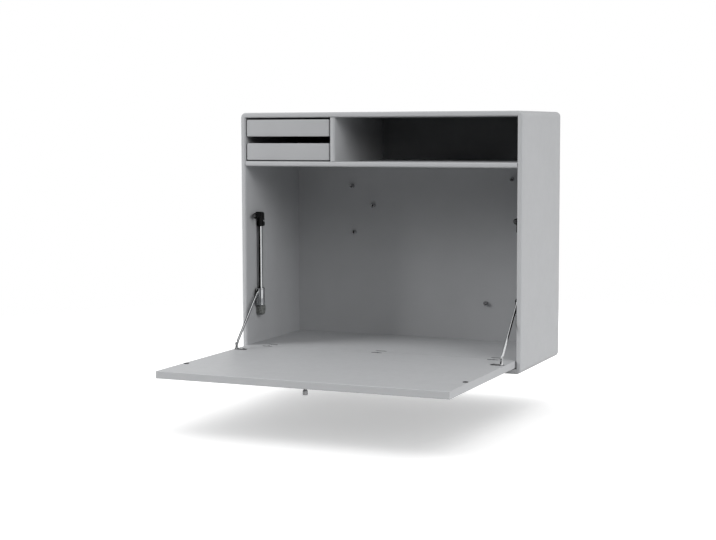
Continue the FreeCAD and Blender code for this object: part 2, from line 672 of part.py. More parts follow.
def main():
    os.makedirs("parts", exist_ok=True)
    keys, strips = tongues(), splines()

    ring = frame_ring().cut(cove())
    for name, wedge in mitre_wedges().items():
        save(name, cut(ring.common(wedge), *keys, *strips))
    save("mitre_splines", *strips)
    save("board_tongues", *keys)
    save("shelf", cut(inner_board(-IN_X, IN_X, SHELF_LOW, SHELF_TOP), *keys))
    save("tray_divider", cut(inner_board(DIVIDER_X, DIVIDER_X + DIVIDER, SHELF_TOP, IN_TOP), *keys))
    save("back_board", back_board())
    save("steel_face", box(-IN_X, IN_X, FACE_Y, BACK_FRONT, WORK_Z, SHELF_LOW))
    save("floor_board", floor_board(keys))

    save("flap_board", flap_board())
    save("floor_leaves", *[floor_leaf(x) for x in HINGE_XS])
    save("flap_leaves", *[flap_leaf(x) for x in HINGE_XS])
    save("pull_knob", pull_knob())
    save("knob_stud", knob_stud())

    for name, make in {"stay_slider": stay_slider, "stay_arm": stay_arm}.items():
        for side, solid in two_sides(make).items():
            save(name + "_" + side, solid)
    pairs = {"stay_tubes": stay_tube, "stay_feet": stay_foot, "stay_heads": stay_head,
             "stay_posts": stay_post, "catches": catch, "catch_magnets": catch_magnet,
             "strike_discs": strike_disc}
    for name, make in pairs.items():
        save(name, *two_sides(make).values())

    for name, z0 in TRAY_ZS.items():
        for piece, solids in tray_pieces(z0).items():
            save(name + "_" + piece, *solids)
    save("tray_runners", *tray_runners())

    save("wall_rail", wall_rail())
    save("hanger_strip", hanger_strip())
    for i, (across, up) in enumerate(MAGNET_SPOTS, 1):
        save("board_magnet_" + str(i), board_magnet(across, up))


main()
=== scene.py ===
# %% [markdown]
# # A fold down wall desk
#
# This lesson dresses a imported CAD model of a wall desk: a shallow lacquered cabinet whose front folds
# down on two chromed stays and becomes a worktop. The CAD gives the boards, the joints and the sizes.
# Blender adds the rest: the finishes, the turned and moulded fittings, and the light.
#
# Everything is in metres and in the CAD's own frame. The wall is the plane y = 0, the room is at
# negative y, z points up, and x = 0 is the middle of the desk.

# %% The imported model
import bpy
import bmesh
import numpy as np
from mathutils import Matrix, Vector

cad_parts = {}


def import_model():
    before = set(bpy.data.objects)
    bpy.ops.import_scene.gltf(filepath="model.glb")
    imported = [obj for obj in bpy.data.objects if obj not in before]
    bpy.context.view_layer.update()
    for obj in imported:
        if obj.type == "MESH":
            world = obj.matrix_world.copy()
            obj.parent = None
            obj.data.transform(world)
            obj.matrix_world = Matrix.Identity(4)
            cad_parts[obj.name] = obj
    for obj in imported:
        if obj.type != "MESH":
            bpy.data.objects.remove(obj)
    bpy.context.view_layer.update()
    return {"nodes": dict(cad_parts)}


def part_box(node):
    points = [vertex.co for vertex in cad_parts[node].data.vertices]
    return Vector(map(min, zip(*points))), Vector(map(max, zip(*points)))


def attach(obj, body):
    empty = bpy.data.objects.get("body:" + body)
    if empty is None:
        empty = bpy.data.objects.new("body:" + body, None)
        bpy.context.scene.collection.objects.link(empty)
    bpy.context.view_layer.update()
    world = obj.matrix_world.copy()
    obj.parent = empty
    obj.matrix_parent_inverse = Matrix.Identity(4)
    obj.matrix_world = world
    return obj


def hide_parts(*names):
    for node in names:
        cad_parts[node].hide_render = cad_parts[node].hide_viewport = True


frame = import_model()
nodes = frame["nodes"]
mm = 0.001


def placed(name, data):
    """A new object in the scene."""
    made = bpy.data.objects.new(name, data)
    bpy.context.scene.collection.objects.link(made)
    return made


# %% [markdown]
# ## The camera
#
# The desk is looked at from the right and from a little above its worktop, with a long lens, so its
# edges run nearly parallel. A camera could be aimed with a Track To constraint, but a constraint
# can't hold the small roll. Here its axes are worked out from three angles instead: yaw turns it to
# the left, pitch tips it down, and roll turns the picture about its middle.

# %% Camera
CAMERA_PLACE = Vector((1330.05, -3476.67, 0.17)) * mm
YAW, PITCH, ROLL = np.radians([23.417, 5.311, -0.173])
LENS, SENSOR = 75.601, 36.0


def camera_axes(yaw, pitch, roll):
    """Right, up and forward: +y turned left by yaw and down by pitch. Roll turns the other two."""
    forward = Vector((-np.sin(yaw) * np.cos(pitch), np.cos(yaw) * np.cos(pitch), -np.sin(pitch)))
    level = Vector((np.cos(yaw), np.sin(yaw), 0))
    steep = level.cross(forward)
    right = level * np.cos(roll) + steep * np.sin(roll)
    up = steep * np.cos(roll) - level * np.sin(roll)
    return right, up, forward


right, up, forward = camera_axes(YAW, PITCH, ROLL)
camera_data = bpy.data.cameras.new("camera")
camera_data.lens, camera_data.sensor_width, camera_data.sensor_fit = LENS, SENSOR, "HORIZONTAL"
camera_data.clip_start, camera_data.clip_end = 0.05, 60
camera = placed("camera", camera_data)
turn = Matrix((right, up, -forward)).transposed().to_4x4()
camera.matrix_world = Matrix.Translation(CAMERA_PLACE) @ turn
bpy.context.scene.camera = camera
print("camera at", [round(c, 3) for c in CAMERA_PLACE])

# %% [markdown]
# ## Building a finish from nodes
#
# Every finish is a small network of nodes on Object coordinates, which are metres in the frame of
# the desk, so a grain of a given size stays that size on every piece. A helper keeps the
# networks readable: it makes a node, sets its values and joins its inputs in one call.

# %% Node helper
def add_node(tree, kind, inputs=(), **settings):
    """A new node. Each input is a value, or the output of another node that is joined to it."""
    made = tree.nodes.new(kind)
    for key, value in settings.items():
        setattr(made, key, value)
    for key, value in dict(inputs).items():
        if isinstance(value, bpy.types.NodeSocket):
            tree.links.new(value, made.inputs[key])
        else:
            made.inputs[key].default_value = value
    return made


# %% Finish
class Finish:
    """A material and its shader, with short calls that add nodes to it."""

    def __init__(self, name, colour, roughness, **sockets):
        self.material = bpy.data.materials.new(name)
        self.material.use_nodes = True
        self.tree = self.material.node_tree
        self.shader = self.tree.nodes["Principled BSDF"]
        self.shader.inputs["Base Color"].default_value = (*colour, 1)
        self.shader.inputs["Roughness"].default_value = roughness
        for socket, value in sockets.items():
            self.shader.inputs[socket.replace("_", " ")].default_value = value
        self.place = self.node("ShaderNodeTexCoord").outputs["Object"]

    def node(self, kind, inputs=(), **settings):
        return add_node(self.tree, kind, inputs, **settings)

    def stretched(self, scale):
        """Object coordinates multiplied by a scale for each axis."""
        return self.node("ShaderNodeMapping", {"Vector": self.place, "Scale": scale}).outputs["Vector"]

    def noise(self, grain, detail=3.0, rough=0.5, at=None):
        """Noise whose features are about grain metres across."""
        return self.node("ShaderNodeTexNoise", {
            "Vector": at or self.place, "Scale": 1 / grain, "Detail": detail, "Roughness": rough,
        }).outputs["Fac"]

    def spread(self, value, low, high, start=0.3, end=0.7):
        """A number that runs from low to high while value runs from start to end."""
        return self.node("ShaderNodeMapRange", {
            "Value": value, "From Min": start, "From Max": end, "To Min": low, "To Max": high,
        }).outputs["Result"]

    def ramp(self, value, *stops):
        """A colour for each place on value: stops are (place, colour)."""
        made = self.node("ShaderNodeValToRGB", {"Fac": value})
        elements = made.color_ramp.elements
        while len(elements) < len(stops):
            elements.new(0.5)
        for element, (place, colour) in zip(elements, stops):
            element.position, element.color = place, (*colour, 1)
        return made.outputs["Color"]

    def mottled(self, value, colour, low, high, start=0.35, end=0.65):
        """The colour times low where value is start or less, and times high where it is end or more."""
        stops = [(place, tuple(c * tone for c in colour)) for place, tone in ((start, low), (end, high))]
        return self.ramp(value, *stops)

    def bump(self, height, depth, over=None):
        """Relief of the given depth in metres, laid over another relief if there is one."""
        inputs = {"Height": height, "Strength": 1.0, "Distance": depth}
        if over is not None:
            inputs["Normal"] = over
        return self.node("ShaderNodeBump", inputs).outputs["Normal"]

    def join(self, **sockets):
        """Join outputs to the shader's inputs, and return the material."""
        for socket, value in sockets.items():
            self.tree.links.new(value, self.shader.inputs[socket.replace("_", " ")])
        return self.material


# %% [markdown]
# ## Lacquer on board
#
# The cabinet, the flap and the trays are fibreboard under a sprayed grey lacquer. Seen close, such
# lacquer is never quite flat: it has a very fine "orange peel", it is a little mottled where the
# coat is thicker, and its gloss changes with that. Three noises of different grain give the three.
# The cut front edges are painted a touch lighter: painted light, standing in for light that falls on
# them from the front. A blend over the last millimetres in front gives that, with no seam.

# %% Lacquer
GREY = (0.455, 0.462, 0.473)
# painted light on the cut front edges: how much lighter they are, and how deep the blend runs
FRONT_LIGHT_TONE, FRONT_LIGHT_FADE = 1.11, 3.5 * mm


def lacquer(name, gloss=0.5, grain=1.3 * mm, depth=0.012 * mm, front=None):
    """Grey lacquer; front is the y of the cut edges that are painted lighter, as painted light."""
    paint = Finish(name, GREY, gloss, Specular_IOR_Level=0.22)
    mottle = paint.noise(60 * mm, 4.0)
    coat = paint.mottled(mottle, GREY, 0.988, 1.01)
    if front is not None:
        y = paint.node("ShaderNodeSeparateXYZ", {"Vector": paint.place}).outputs["Y"]
        # painted light: towards the front the grey turns lighter, for light that falls on the front
        edge = paint.spread(y, 1.0, 0.0, front, front + FRONT_LIGHT_FADE)
        painted_front_light = paint.mottled(mottle, GREY, FRONT_LIGHT_TONE * 0.988, FRONT_LIGHT_TONE * 1.01)
        coat = paint.node("ShaderNodeMix", {0: edge, 6: coat, 7: painted_front_light}, data_type="RGBA").outputs[2]
    peel = paint.bump(paint.noise(grain, 2.0), depth)
    speck = paint.bump(paint.noise(0.35 * mm, 1.0), depth * 0.3, peel)
    return paint.join(
        Base_Color=coat,
        Roughness=paint.spread(paint.noise(14 * mm, 3.0), gloss - 0.04, gloss + 0.05),
        Normal=speck)


board_lacquer = lacquer("board_lacquer", front=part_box("left_side")[0][1])
flap_lacquer = lacquer("flap_lacquer", front=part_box("flap_board")[0][1])
tray_lacquer = lacquer("tray_lacquer", gloss=0.52)

# %% [markdown]
# ## Coated steel
#
# A sheet of steel covers the back of the desk, so that magnets hold on it. It and the hinge leaves
# are powder coated in the same grey. Powder melts into a coarser and softer relief than sprayed
# lacquer does, and it is a little more matt.

# %% Powder coat
coated_steel = lacquer("coated_steel", gloss=0.58, grain=0.9 * mm, depth=0.02 * mm)

# %% [markdown]
# ## Chrome and satin steel
#
# The stays are chromed: a mirror with faint wiping marks in its gloss. The knob, the magnets and the
# plates under the stays are steel with a satin brushing, which is noise drawn out along one axis so
# that it makes fine lines. A small magnet is polished further, and the plates are left darker.

# %% Metals
def chrome():
    """A mirror whose gloss and tone vary with the wiping."""
    metal = Finish("bright_chrome", (0.66, 0.67, 0.68), 0.1, Metallic=1.0)
    wiped = metal.noise(9 * mm, 4.0)
    return metal.join(
        Base_Color=metal.ramp(wiped, (0.3, (0.62, 0.63, 0.64)), (0.7, (0.7, 0.71, 0.72))),
        Roughness=metal.spread(metal.noise(3 * mm, 3.0), 0.07, 0.16),
        Normal=metal.bump(wiped, 0.004 * mm))


def satin(name, colour, gloss=0.34):
    """Brushed steel: noise pressed together twelve times along z."""
    metal = Finish(name, colour, gloss, Metallic=1.0)
    drawn = metal.noise(2.2 * mm, 4.0, at=metal.stretched((1, 1, 12)))
    return metal.join(
        Base_Color=metal.mottled(drawn, colour, 0.9, 1.06, 0.3, 0.7),
        Roughness=metal.spread(drawn, gloss - 0.07, gloss + 0.09),
        Normal=metal.bump(drawn, 0.008 * mm))


bright_chrome = chrome()
satin_steel = satin("satin_steel", (0.42, 0.42, 0.43))
dark_steel = satin("dark_steel", (0.24, 0.24, 0.245), gloss=0.42)
magnet_steel = satin("magnet_steel", (0.42, 0.42, 0.43), gloss=0.2)

# %% [markdown]
# ## Zinc on the wall rail
#
# The rail on the wall and the strip that hooks over it are galvanised sheet. Zinc freezes into flat
# crystals, each with its own brightness. A Voronoi pattern has a random colour for each cell,
# which is just that.

# %% Zinc
def zinc():
    """Crystals 7 mm across, each with its own tone and gloss."""
    metal = Finish("zinc_sheet", (0.5, 0.51, 0.52), 0.4, Metallic=1.0)
    crystal = metal.node("ShaderNodeTexVoronoi", {"Vector": metal.place, "Scale": 1 / (7 * mm)})
    tone = metal.node("ShaderNodeSeparateColor", {"Color": crystal.outputs["Color"]}).outputs["Red"]
    return metal.join(
        Base_Color=metal.ramp(tone, (0.0, (0.42, 0.43, 0.44)), (1.0, (0.57, 0.58, 0.59))),
        Roughness=metal.spread(tone, 0.32, 0.5, 0, 1),
        Normal=metal.bump(metal.noise(1.5 * mm), 0.01 * mm))


zinc_sheet = zinc()

# %% [markdown]
# ## Moulded plastics
#
# The heads of the stays are black nylon, with the fine even grain of a spark eroded mould. Their
# feet are a dark grey plastic that lets a little light in, and looks cloudy. The strike discs are
# steel with a thin black oxide, whose speckle is close enough to that grain to share the network.

# %% Plastics
def moulded(name, colour, gloss, cloud=0.1, **sockets):
    """A grained surface whose colour varies by cloud, as a share."""
    plastic = Finish(name, colour, gloss, **sockets)
    return plastic.join(
        Base_Color=plastic.mottled(plastic.noise(4 * mm, 4.0), colour, 1 - cloud, 1 + cloud),
        Roughness=plastic.spread(plastic.noise(5 * mm), gloss - 0.05, gloss + 0.07),
        Normal=plastic.bump(plastic.noise(0.3 * mm, 2.0), 0.012 * mm))


black_nylon = moulded("black_nylon", (0.004, 0.004, 0.0043), 0.5, Specular_IOR_Level=0.2)
black_oxide = moulded("black_oxide", (0.03, 0.03, 0.032), 0.45, 0.3, Specular_IOR_Level=0.3)
cloudy_plastic = moulded("cloudy_plastic", (0.15, 0.156, 0.15), 0.4, 0.4, Specular_IOR_Level=0.3)

# %% [markdown]
# ## Bare fibreboard
#
# Splines, tongues, tray runners and the back of the back board aren't lacquered. Pressed fibres show
# there as short flecks: a fine noise, stretched a little.

# %% Fibreboard
FIBRES = ((0.3, (0.2, 0.145, 0.095)), (0.7, (0.31, 0.235, 0.165)))      # stops of the ramp


def fibre():
    """Pressed fibres: brown flecks with a relief of their own."""
    board = Finish("bare_fibreboard", (0.27, 0.2, 0.135), 0.8)
    flecks = board.noise(1.1 * mm, 5.0, 0.65, board.stretched((1, 1, 2.5)))
    return board.join(
        Base_Color=board.ramp(flecks, *FIBRES),
        Roughness=board.spread(board.noise(20 * mm), 0.72, 0.88),
        Normal=board.bump(flecks, 0.03 * mm))


bare_fibreboard = fibre()

# %% [markdown]
# The back board has one good face: a coat in front, painted darker at about 0.6 of the grey as painted
# shade for the deep bays that it closes, and nothing behind. The y of the point tells the two apart.

# %% Back board
BARE_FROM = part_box("back_board")[1][1] - 0.4 * mm


def one_good_face():
    """A coat darkened as painted shade in front of the plane BARE_FROM, and bare fibres behind it."""
    board = Finish("shaded_back_board", GREY, 0.65, Specular_IOR_Level=0.12)
    y = board.node("ShaderNodeSeparateXYZ", {"Vector": board.place}).outputs["Y"]
    bare = board.node("ShaderNodeMath", {0: y, 1: BARE_FROM}, operation="GREATER_THAN").outputs["Value"]
    # painted shade: 0.6 to 0.64 of the grey, darker than the other boards, for the shade deep in the bays
    coat = board.mottled(board.noise(60 * mm, 4.0), GREY, 0.6, 0.64)
    flecks = board.noise(1.1 * mm, 5.0, 0.65)
    fibres = board.ramp(flecks, *FIBRES)
    colour = board.node("ShaderNodeMix", {0: bare, 6: coat, 7: fibres}, data_type="RGBA").outputs[2]
    return board.join(
        Base_Color=colour,
        Roughness=board.spread(board.noise(14 * mm), 0.6, 0.72),
        Normal=board.bump(flecks, 0.015 * mm))


shaded_back_board = one_good_face()

# %% [markdown]
# ## A finish for every CAD piece
#
# A CAD piece whose shape is right stays as it is, and only gets its finish. A piece that is modelled
# below takes its finish too.

# %% Finishes on the CAD pieces
TRAYS = ("upper_tray", "lower_tray")
TRAY_PIECES = [f"{tray}_{part}" for tray in TRAYS for part in ("front", "sides", "back", "bottom")]
FINISH_OF = {
    shaded_back_board: ["back_board"],
    board_lacquer: ["top_panel", "bottom_panel", "left_side", "right_side", "shelf", "tray_divider",
                    "floor_board"],
    flap_lacquer: ["flap_board"],
    tray_lacquer: TRAY_PIECES,
    coated_steel: ["steel_face", "floor_leaves", "flap_leaves"],
    bare_fibreboard: ["mitre_splines", "board_tongues", "tray_runners"],
    bright_chrome: ["stay_tubes", "stay_slider_left", "stay_slider_right", "stay_arm_left",
                    "stay_arm_right", "stay_posts"],
    satin_steel: ["knob_stud", "pull_knob"],
    magnet_steel: [f"board_magnet_{i}" for i in range(1, 6)],
    dark_steel: ["catch_magnets"],
    black_oxide: ["strike_discs"],
    zinc_sheet: ["wall_rail", "hanger_strip"],
    black_nylon: ["stay_heads", "catches"],
    cloudy_plastic: ["stay_feet"],
}
for finish, names in FINISH_OF.items():
    for name in names:
        mesh = nodes[name].data
        mesh.materials.clear()
        mesh.materials.append(finish)
bare = sorted(set(nodes) - {name for names in FINISH_OF.values() for name in names})
print("nodes without a finish:", bare)

# %% [markdown]
# ## Surfaces from numpy
#
# The small fittings are turned, cast or pressed, and each gets a mesh of its own. Blender's
# modelling tools could make them one by one. Here a surface is a grid of points worked out as
# whole arrays instead: rows run along the piece, columns run round it. Lengths are in millimetres
# until a piece is made.

# %% From grids to a piece
MERGE = 0.001 * mm
SHARP_FROM = 35         # degrees between two faces


def cells(rows, columns):
    """The four corners of each cell of a grid whose last column joins its first."""
    row, column = np.meshgrid(np.arange(rows - 1), np.arange(columns), indexing="ij")
    after = (column + 1) % columns
    here, above = row * columns, (row + 1) * columns
    return np.stack((here + column, here + after, above + after, above + column), -1).reshape(-1, 4)


def piece(name, body, finish, *grids, stands_for=()):
    """An object from grids in millimetres. Points that fall together, as at a pole, are merged."""
    points = np.concatenate([grid.reshape(-1, 3) for grid in grids]) * mm
    starts = np.cumsum([0] + [grid.shape[0] * grid.shape[1] for grid in grids])
    faces = np.concatenate([cells(*grid.shape[:2]) + start for grid, start in zip(grids, starts)])
    mesh = bpy.data.meshes.new(name)
    mesh.from_pydata(points.tolist(), [], faces.tolist())
    tidy = bmesh.new()
    tidy.from_mesh(mesh)
    bmesh.ops.remove_doubles(tidy, verts=tidy.verts, dist=MERGE)
    bmesh.ops.recalc_face_normals(tidy, faces=tidy.faces)
    tidy.to_mesh(mesh)
    tidy.free()
    mesh.shade_smooth()
    mesh.set_sharp_from_angle(angle=np.radians(SHARP_FROM))
    mesh.materials.append(finish)
    made = placed(name, mesh)
    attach(made, body)
    if stands_for:
        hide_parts(*stands_for)
    print(f"{name}: {len(mesh.polygons)} faces, rides on {body}")


def corners_of(node):
    """Lowest and highest corner of a CAD piece in millimetres."""
    low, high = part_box(node)
    return np.array(low) / mm, np.array(high) / mm


def both(grids):
    """The grids of the right side, and the same mirrored to the left."""
    return [grid * (side, 1, 1) for side in (1, -1) for grid in grids]


# %% [markdown]
# ## Rounded corners
#
# No edge of a turned or moulded piece is quite sharp, and it is the small rounding that catches the
# light. An outline is therefore a list of corners with a radius each. A conic with the right weight
# is an exact arc, so one formula rounds a corner of any angle.

# %% Outlines
def softened(corners, closed=False, steps=5):
    """Points along an outline with rounded corners (x, y, radius).

    An arc leaves the two edges of its corner B at A and C, radius / tan(h) away, where h is half the
    angle between them. It is (A(1-t)^2 + 2wBt(1-t) + Ct^2) / ((1-t)^2 + 2wt(1-t) + t^2), with w = sin(h).
    """
    places = np.array(corners, float)[:, :2]
    t = np.linspace(0, 1, steps + 1)[:, None]
    outline = []
    for i, (x, y, radius) in enumerate(corners):
        corner = places[i]
        if radius == 0 or (not closed and i in (0, len(corners) - 1)):
            outline.append(corner[None])
            continue
        ways = [places[i - 1] - corner, places[(i + 1) % len(corners)] - corner]
        first, last = (way / np.linalg.norm(way) for way in ways)
        half = np.arccos(np.clip(first @ last, -1, 1)) / 2
        start, end = (corner + way * radius / np.tan(half) for way in (first, last))
        pull = 2 * np.sin(half) * t * (1 - t)
        arc = start * (1 - t) ** 2 + corner * pull + end * t ** 2
        outline.append(arc / ((1 - t) ** 2 + pull + t ** 2))
    return np.concatenate(outline)


def turned(profile, centre, axis, sides=40):
    """A profile of (radius, distance) spun round an axis: radius (cos a u + sin a v) + distance axis."""
    axis = np.array(axis, float)
    u = np.roll(axis, 1)
    v = np.cross(axis, u)
    angle = np.linspace(0, 2 * np.pi, sides, endpoint=False)
    ring = np.cos(angle)[:, None] * u + np.sin(angle)[:, None] * v
    return np.array(centre) + profile[:, :1, None] * ring + profile[:, 1:, None] * axis


def slab(outline, low, high, edges, order, steps=4):
    """A flat piece: a closed outline carried from low to high, its edges rounded to one radius or two.

    Near each face the outline moves inwards by R (1 - sin a) at the height R (1 - cos a), while a goes
    from 0 to a right angle. order names the axes of the outline's two numbers and of the height.
    """
    lower, upper = np.broadcast_to(edges, 2)
    ahead, behind = np.roll(outline, -1, 0), np.roll(outline, 1, 0)
    tangent = (ahead - behind) / np.linalg.norm(ahead - behind, axis=1, keepdims=True)
    inwards = np.stack([-tangent[:, 1], tangent[:, 0]], 1)
    a = np.linspace(0, np.pi / 2, steps + 1)
    inset, rise = 1 - np.sin(a), 1 - np.cos(a)
    insets = np.concatenate([lower * inset, upper * inset[::-1]])
    heights = np.concatenate([low + lower * rise, high - upper * rise[::-1]])
    rings = outline + insets[:, None, None] * inwards
    middle = np.broadcast_to(outline.mean(0), outline.shape)
    rings = np.concatenate([middle[None], rings, middle[None]])
    heights = np.concatenate([[low], heights, [high]])
    columns = np.concatenate([rings, np.broadcast_to(heights[:, None, None], rings.shape[:2] + (1,))], 2)
    made = np.empty_like(columns)
    made[..., ["xyz".index(letter) for letter in order]] = columns
    return made


def block(a0, a1, b0, b1, radii, steps=5):
    """A rectangle as a closed outline, with a radius for (a0, b0), (a1, b0), (a1, b1) and (a0, b1)."""
    places = ((a0, b0), (a1, b0), (a1, b1), (a0, b1))
    return softened([(*place, radius) for place, radius in zip(places, radii)], closed=True, steps=steps)


# %% [markdown]
# ## Screws
#
# Each screw has a low domed head with a cross recess. The head is a height over a disc: a dome, less
# the recess, which is a groove of two crossing bars whose walls slope. A turned piece couldn't have
# the cross, and cutting it with a boolean would leave a mesh that is hard to shade.

# %% Screws
CROSS_HALF, CROSS_REACH, CROSS_WALL = 0.2, 0.66, 0.08      # of the head's radius


def screw(centre, axis, radius, rise, depth=0.9):
    """A head on the plane through centre, of the height rise (1 - (r / radius)^4) less a cross.

    The cross is depth deep where |p| or |q| is small and r isn't large: two clipped ramps, one across
    the bars and one at their ends, are multiplied. Both slope over the width of the wall.
    """
    angle = np.linspace(0, 2 * np.pi, 48, endpoint=False)
    r = radius * np.concatenate([[0], np.linspace(0.1, 0.74, 17), [0.82, 0.92, 0.98, 1.0]])[:, None]
    p, q = r * np.cos(angle), r * np.sin(angle)
    wall = CROSS_WALL * radius
    bar = np.clip((CROSS_HALF * radius - np.minimum(abs(p), abs(q))) / wall, 0, 1)
    end = np.clip((CROSS_REACH * radius - r) / wall, 0, 1)
    height = rise * (1 - (r / radius) ** 4) - min(depth, rise * 0.9) * bar * end
    axis = np.array(axis, float)
    u = np.roll(axis, 1)
    v = np.cross(axis, u)
    top = np.array(centre) + p[..., None] * u + q[..., None] * v + height[..., None] * axis
    foot = np.broadcast_to(np.array(centre) - 0.4 * axis, top[:1].shape)
    skirt = top[-1:] - 0.4 * axis
    return np.concatenate([top, skirt, foot])


# %% [markdown]
# ## The stays: tubes, sliders and arms
#
# A stay holds the open flap and slows it. A chromed tube stands at each side of the cabinet, a slider
# runs on it, and an arm joins the slider to a post on the flap. The tube is already right. The arm is
# a round rod whose two ends are pressed flat into eyes, so its section has to change from a circle
# to a flat: a superellipse does that with one exponent.

# %% Where the stays are
tube_low, tube_high = corners_of("stay_tubes")
foot_low, foot_high = corners_of("stay_feet")
head_low, head_high = corners_of("stay_heads")
slider_low, slider_high = corners_of("stay_slider_right")
arm_low, arm_high = corners_of("stay_arm_right")
TUBE_R, ROD_R, EYE_R = 5.0, 2.8, 4.0
STAY_X = tube_high[0] - TUBE_R
STAY_Y = (tube_low[1] + tube_high[1]) / 2
SIDE_X = head_high[0]                       # inner face of the side panel
PIN = np.array([STAY_X, arm_low[1] + EYE_R, arm_low[2] + EYE_R])        # on the post
LINK = np.array([STAY_X, arm_high[1] - EYE_R, arm_high[2] - EYE_R])     # on the slider
print("stay axis:", STAY_X, STAY_Y, "pins:", PIN[1:], LINK[1:])


# %% Arms
LOWER_HALF, LOWER_SHIFT = 1.15, -1.35       # the lower eye is half as thick, and lies beside the tongue
NEAR_PIN, NEAR_LINK = 14, 12                # stretches with closely set sections
SIDES = (("left", -1), ("right", 1))


def flattened(value, power):
    """A cosine or sine raised to a power below 1, with its sign: it fills a section out to a box."""
    return np.sign(value) * abs(value) ** power


def eased_step(value, start, length):
    """0 before start, 1 after start + length, and t^2 (3 - 2t) between."""
    t = np.clip((value - start) / length, 0, 1)
    return t * t * (3 - 2 * t)


def arm():
    """Sections along the line between the pins, at the distance s from the post's pin.

    Half the width is the larger of the rod's radius and the circle of the nearer eye. Half the
    thickness is the rod's, and less at the post. The power is 2 / n: n = 2 on the rod, 6 on the eyes.
    """
    length = np.linalg.norm(LINK - PIN)
    along = (LINK - PIN) / length
    tip = np.linspace(0, np.pi / 2, 10)
    s = np.concatenate([-EYE_R * np.cos(tip), np.linspace(0, NEAR_PIN, 29)[1:],
                        np.linspace(NEAR_PIN, length - NEAR_LINK, 10)[1:],
                        np.linspace(length - NEAR_LINK, length, 20)[1:],
                        length + EYE_R * np.sin(tip)[1:]])[:, None]
    near = np.minimum(abs(s), abs(length - s))
    width = np.sqrt(np.maximum(EYE_R ** 2 - near ** 2, 0))
    width = np.where((s < 0) | (s > length), width, np.maximum(width, ROD_R))
    rod = eased_step(s, 4.4, 5)
    thick = LOWER_HALF + (ROD_R - LOWER_HALF) * rod
    power = 2 / (6 - 4 * eased_step(near, 4, 6))
    angle = np.linspace(0, 2 * np.pi, 32, endpoint=False)
    across = np.array([0, -along[2], along[1]])
    x = LOWER_SHIFT * (1 - rod) + thick * flattened(np.cos(angle), power)
    w = width * flattened(np.sin(angle), power)
    return PIN + s[..., None] * along + x[..., None] * np.array([1, 0, 0]) + w[..., None] * across


for side, sign in SIDES:
    piece(f"arm_{side}_rod", f"arm_{side}", bright_chrome, arm() * (sign, 1, 1),
          stands_for=[f"stay_arm_{side}"])

# %% [markdown]
# The slider is a turned sleeve with bevelled ends and two fine grooves. The arm's upper eye sits
# between two cheeks in front of it, on a rivet with a domed head at each end.

# %% Sliders
CHEEK_INNER, CHEEK_OUTER = 2.9, 4.5         # distances from the stay's plane


def ring(corners, centre, axis):
    """A turned ring: a closed profile of rounded corners (radius, distance, rounding)."""
    profile = softened(corners, closed=True, steps=3)
    return turned(np.concatenate([profile, profile[:1]]), centre, axis, 48)


def rivet(centre, axis, reach, shank, head, dome):
    """A pin with a domed head at each end; reach is from its middle to the underside of a head."""
    half = [(shank, reach, 0), (head, reach, 0.05), (head, reach + 0.15, 0.1),
            (head * 0.62, reach + dome * 0.85, 0.6), (0, reach + dome, 0)]
    profile = [(radius, -place, rounding) for radius, place, rounding in reversed(half)] + half
    return turned(softened(profile, steps=3), centre, axis, 32)


def slider():
    """A sleeve with chamfered ends and two grooves, the two cheeks in front of it, and the rivet."""
    low, high = slider_low[2], slider_high[2]
    bore, wall, groove = TUBE_R + 0.08, 9.0, 8.5
    corners = [(bore, low, 0.3), (wall - 0.9, low, 0.2), (wall, low + 0.9, 0.3)]
    for z in (low + 3.6, high - 4.6):
        corners += [(wall, z, 0.1), (groove, z + 0.3, 0.1), (groove, z + 0.7, 0.1), (wall, z + 1.0, 0.1)]
    corners += [(wall, high - 0.9, 0.3), (wall - 0.9, high, 0.2), (bore, high, 0.3)]
    grids = [ring(corners, (STAY_X, STAY_Y, 0), (0, 0, 1))]
    cheek = block(slider_low[1], STAY_Y - TUBE_R - 0.5, low + 0.1, high - 0.1, (3, 0.4, 0.4, 3))
    for inner, outer in ((CHEEK_INNER, CHEEK_OUTER), (-CHEEK_OUTER, -CHEEK_INNER)):
        grids.append(slab(cheek, STAY_X + inner, STAY_X + outer, 0.35, "yzx"))
    grids.append(rivet(LINK, (1, 0, 0), CHEEK_OUTER, 1.8, 2.7, 0.9))
    return grids


for side, sign in SIDES:
    grids = [grid * (sign, 1, 1) for grid in slider()]
    piece(f"slider_{side}_sleeve", f"slider_{side}", bright_chrome, *grids,
          stands_for=[f"stay_slider_{side}"])

# %% [markdown]
# The post on the flap is a small chromed casting: a stem that narrows upwards, and a tongue beside the
# arm's lower eye, with a rivet through both. Its stem has the same superellipse section as the eyes, so
# it looks pressed and not sawn. It stands on a plate of dark steel with round ends and a screw.

# %% Posts
plate_low, plate_high = corners_of("stay_posts")
PLATE_TOP = plate_low[2] + 1.5
STEM_FOOT, STEM_TOP, STEM_THICK, STEM_BELOW_PIN = 4.5, 3.2, 2.5, 4.4
TONGUE_HALF, TONGUE_INNER, TONGUE_OUTER = 3.2, 0.2, 2.5


def stem(tall):
    """Sections that narrow upwards, flared by 1 / (1 + (z / 0.9)^2) at the foot and closed at the top."""
    z = np.concatenate([np.linspace(0, 2.5, 9), np.linspace(2.5, tall - 0.6, 8)[1:],
                        [tall - 0.3, tall - 0.08, tall, tall]])[:, None]
    close = np.array([1.0] * (len(z) - 4) + [0.99, 0.95, 0.86, 0])[:, None]
    flare = 1.3 / (1 + (z / 0.9) ** 2)
    wide = (STEM_FOOT - (STEM_FOOT - STEM_TOP) * z / tall + flare) * close
    thick = (STEM_THICK + flare * 0.6) * close
    angle = np.linspace(0, 2 * np.pi, 40, endpoint=False)
    x, y = thick * flattened(np.cos(angle), 0.5), wide * flattened(np.sin(angle), 0.5)
    return np.array([STAY_X, PIN[1], PLATE_TOP]) + np.stack([x, y, z + 0 * x], -1)


